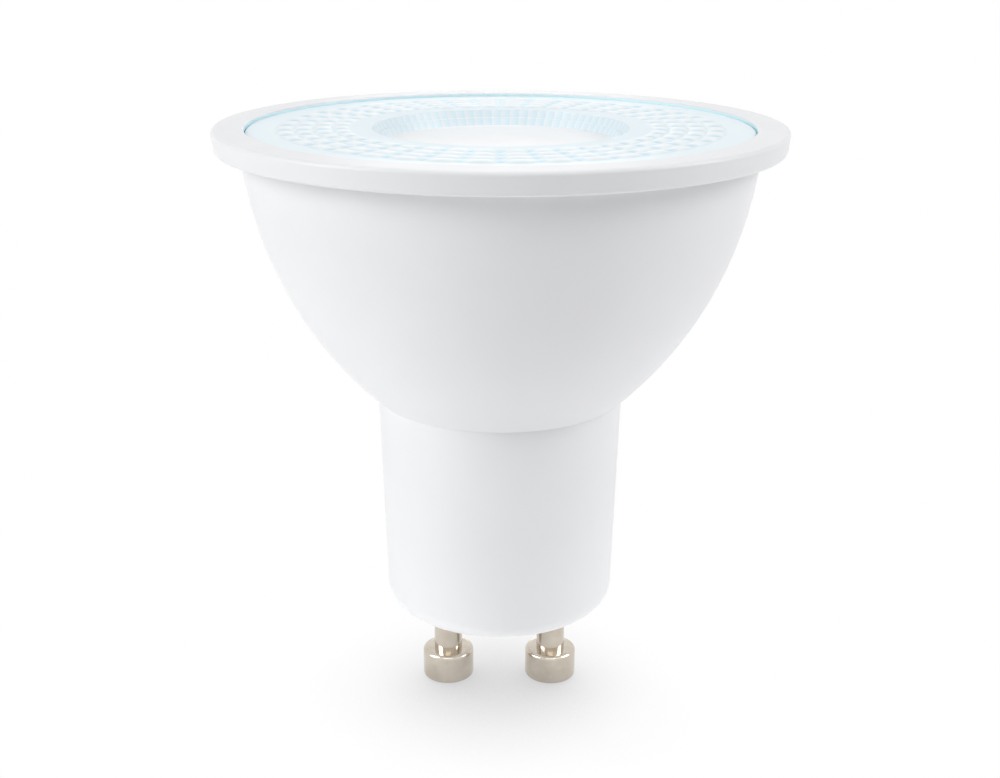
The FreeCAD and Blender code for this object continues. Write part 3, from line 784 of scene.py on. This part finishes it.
insideFinishes = {
    "pressed_aluminium": {"colours": ((0.86, 0.86, 0.85), (0.80, 0.80, 0.80)), "metallic": 1.0,
                          "roughness": (0.28, 0.42), "grain": 0.4, "cloud": 3.0, "depth": 0.006,
                          "rings": 0.3},
    "board_white": {"colours": ((0.88, 0.88, 0.86), (0.84, 0.84, 0.82)), "metallic": 0.0,
                    "roughness": (0.35, 0.5), "grain": 0.2, "cloud": 2.5, "depth": 0.004},
    "led_package": {"colours": ((0.88, 0.88, 0.85), (0.84, 0.84, 0.80)), "metallic": 0.0,
                    "roughness": (0.3, 0.45), "grain": 0.1, "cloud": 0.6, "depth": 0.003,
                    "mark": ledDish, "markColour": (0.86, 0.62, 0.10)},
    "screw_steel": {"colours": ((0.60, 0.60, 0.60), (0.50, 0.50, 0.51)), "metallic": 1.0,
                    "roughness": (0.25, 0.4), "grain": 0.1, "cloud": 0.8, "depth": 0.003},
    "board_green": {"colours": ((0.03, 0.16, 0.06), (0.04, 0.20, 0.08)), "metallic": 0.0,
                    "roughness": (0.3, 0.45), "grain": 0.15, "cloud": 1.5, "depth": 0.004,
                    "mark": boardTraces, "markColour": (0.055, 0.25, 0.10)},
    "can_sleeve": {"colours": ((0.02, 0.03, 0.06), (0.03, 0.04, 0.08)), "metallic": 0.0,
                   "roughness": (0.25, 0.4), "grain": 0.2, "cloud": 2.0, "depth": 0.003,
                   "mark": canStripe, "markColour": (0.45, 0.46, 0.48)},
    "film_box": {"colours": ((0.55, 0.38, 0.05), (0.48, 0.32, 0.04)), "metallic": 0.0,
                 "roughness": (0.35, 0.5), "grain": 0.15, "cloud": 1.5, "depth": 0.004},
    "ferrite": {"colours": ((0.03, 0.03, 0.033), (0.05, 0.05, 0.052)), "metallic": 0.0,
                "roughness": (0.5, 0.7), "grain": 0.08, "cloud": 1.0, "depth": 0.01},
    "enamelled_copper": {"colours": ((0.72, 0.27, 0.10), (0.60, 0.20, 0.07)), "metallic": 1.0,
                         "roughness": (0.2, 0.35), "grain": 0.12, "cloud": 0.6, "depth": 0.03,
                         "mark": coilLines, "markColour": (0.80, 0.34, 0.14), "markRelief": True},
    "package_black": {"colours": ((0.012, 0.012, 0.013), (0.02, 0.02, 0.021)), "metallic": 0.0,
                      "roughness": (0.45, 0.6), "grain": 0.08, "cloud": 0.8, "depth": 0.006},
    "resistor_lacquer": {"colours": ((0.20, 0.34, 0.40), (0.16, 0.29, 0.35)), "metallic": 0.0,
                         "roughness": (0.3, 0.45), "grain": 0.1, "cloud": 0.8, "depth": 0.004,
                         "mark": colourBands, "markColour": (0.16, 0.06, 0.03)},
    "tinned_wire": {"colours": ((0.70, 0.70, 0.69), (0.60, 0.60, 0.60)), "metallic": 1.0,
                    "roughness": (0.25, 0.4), "grain": 0.08, "cloud": 0.6, "depth": 0.003},
}


def dressInside(finishes, marks):
    # Pieces of one slot share a finish, unless their bare ends need one of their own
    made = {}
    for subpart in frame["record"]["subparts"]:
        node, slot = subpart["node"], subpart["material_slot"]
        if slot not in finishes:
            continue
        name = node if node in marks["bareEnds"] else slot
        if name not in made:
            made[name] = makeInsideFinish(name, node, finishes[slot], marks)
        for materialSlot in frame["nodes"][node].material_slots:
            materialSlot.material = made[name]
    print("finishes given to the pieces inside:", len(made))


dressInside(insideFinishes, insideMarks)


# Floor, light and camera

studio = {
    "white": (1, 1, 1, 1),
    "floorRadius": 3.0,
    "floorSteps": 96,
    "floorColour": (0.95, 0.95, 0.95, 1),
    "poolReach": (0.02, 0.07),    # metres from the middle, over which the pool of light on the floor fades
    "poolStrength": 0.44,
    "shadowReach": 0.016,
    "shadowLean": (0, 0.4, 1),    # the shadow lies a little towards the camera
    "shadowFrom": (0.15, 0.85),   # shares of the sky that the bulb hides, from no shadow to the darkest
    "shadowDepth": 0.38,
    "shadowSamples": 8,
    "aim": (0, 0, 0.034),
    # Degrees round from the camera's side, positive to the right, and above the table; metres; watts
    "softLights": {
        "front": {"around": 0, "above": 45, "distance": 0.5, "size": (0.35, 0.35), "watts": 0.44},
        "rightFront": {"around": 47, "above": 45, "distance": 0.5, "size": (0.35, 0.35), "watts": 0.14},
        "rightSide": {"around": 83, "above": 32, "distance": 0.5, "size": (0.25, 0.25), "watts": 1.32},
        "leftSide": {"around": -65, "above": 28, "distance": 0.5, "size": (0.25, 0.25), "watts": 1.37},
        "leftLow": {"around": -75, "above": 11, "distance": 0.4, "size": (0.20, 0.20), "watts": 0.18},
        "top": {"around": 180, "above": 76, "distance": 0.5, "size": (0.35, 0.35), "watts": 0.81},
        "backStrip": {"around": 180, "above": 9, "distance": 0.5, "size": (0.12, 0.17), "watts": 0.068},
    },
}
cameraView = {
    "place": (0, -0.12682, 0.07146),
    "lookDown": 18.293,
    "roll": 0.164,
    "lens": 51.89,
    "sensor": 36.0,
    "nearest": 0.005,
}


def seenRays(tree):
    # 1 for rays that show the background: straight from the camera, mirrored, or through glass
    path = addNode(tree, "LightPath").outputs
    seen = calculated(tree, "ADD", path["Is Camera Ray"], path["Is Glossy Ray"])
    return calculated(tree, "MINIMUM", calculated(tree, "ADD", seen, path["Is Transmission Ray"]), 1.0)


def makePaper(s):
    # Rays that light the bulb meet paper with a pool of light, and the others white with a soft shadow
    material = bpy.data.materials.new("paleFloor")
    material.use_nodes = True
    tree = material.node_tree
    tree.nodes.clear()
    paper = addNode(tree, "BsdfDiffuse", {"Color": s["floorColour"]}).outputs[0]
    place = addNode(tree, "TexCoord").outputs["Object"]
    reach = addNode(tree, "VectorMath", {0: place}, operation="LENGTH").outputs["Value"]
    near, far = s["poolReach"]
    pool = addNode(tree, "MapRange", {"Value": reach, "From Min": near, "From Max": far,
                                      "To Min": s["poolStrength"], "To Max": 0.0},
                   interpolation_type="SMOOTHSTEP").outputs["Result"]
    glow = addNode(tree, "Emission", {"Color": s["white"], "Strength": pool}).outputs[0]
    lit = addNode(tree, "AddShader", {0: paper, 1: glow}).outputs[0]
    lean = addNode(tree, "CombineXYZ", dict(zip("XYZ", s["shadowLean"]))).outputs[0]
    sky = addNode(tree, "AmbientOcclusion",
                  {"Color": s["white"], "Distance": s["shadowReach"], "Normal": lean},
                  samples=s["shadowSamples"]).outputs["AO"]
    least, most = s["shadowFrom"]
    shade = addNode(tree, "MapRange", {"Value": sky, "From Min": 1 - most, "From Max": 1 - least,
                                       "To Min": 1 - s["shadowDepth"], "To Max": 1.0}).outputs["Result"]
    shown = addNode(tree, "Emission", {"Color": s["white"], "Strength": shade}).outputs[0]
    mix = addNode(tree, "MixShader", {0: seenRays(tree), 1: lit, 2: shown})
    addNode(tree, "OutputMaterial", {"Surface": mix.outputs[0]})
    return material


def makeFloor(s):
    bm = bmesh.new()
    bmesh.ops.create_circle(bm, cap_ends=True, radius=s["floorRadius"], segments=s["floorSteps"])
    bmesh.ops.translate(bm, vec=(0, 0, cadLow.z), verts=bm.verts[:])
    mesh = bpy.data.meshes.new("studioFloor")
    bm.to_mesh(mesh)
    bm.free()
    mesh.materials.append(makePaper(s))
    floor = bpy.data.objects.new("studioFloor", mesh)
    bpy.context.scene.collection.objects.link(floor)


def makeLights(s):
    world = bpy.data.worlds.new("studioWorld")
    world.use_nodes = True
    tree = world.node_tree
    setSockets(tree, tree.nodes["Background"], {"Color": s["white"], "Strength": seenRays(tree)})
    bpy.context.scene.world = world
    for name, light in s["softLights"].items():
        lamp = bpy.data.lights.new(name, "AREA")
        lamp.shape = "RECTANGLE"
        lamp.size, lamp.size_y = light["size"]
        lamp.energy = light["watts"]
        holder = bpy.data.objects.new(name, lamp)
        around, above = math.radians(light["around"]), math.radians(light["above"])
        level = math.cos(above)
        outward = Vector((math.sin(around) * level, -math.cos(around) * level, math.sin(above)))
        holder.location = Vector(s["aim"]) + outward * light["distance"]
        holder.rotation_euler = (-outward).to_track_quat("-Z", "Y").to_euler()
        bpy.context.scene.collection.objects.link(holder)


def makeCamera(s):
    data = bpy.data.cameras.new("bulbCamera")
    data.sensor_width = s["sensor"]
    data.lens = s["lens"]
    data.clip_start = s["nearest"]
    camera = bpy.data.objects.new("bulbCamera", data)
    tilt = Matrix.Rotation(math.radians(90 - s["lookDown"]), 4, "X")
    roll = Matrix.Rotation(math.radians(s["roll"]), 4, "Z")
    camera.matrix_world = Matrix.Translation(s["place"]) @ tilt @ roll
    bpy.context.scene.collection.objects.link(camera)
    bpy.context.scene.camera = camera


makeFloor(studio)
makeLights(studio)
makeCamera(cameraView)
bpy.context.scene.view_settings.view_transform = "Standard"
print("studio ready")
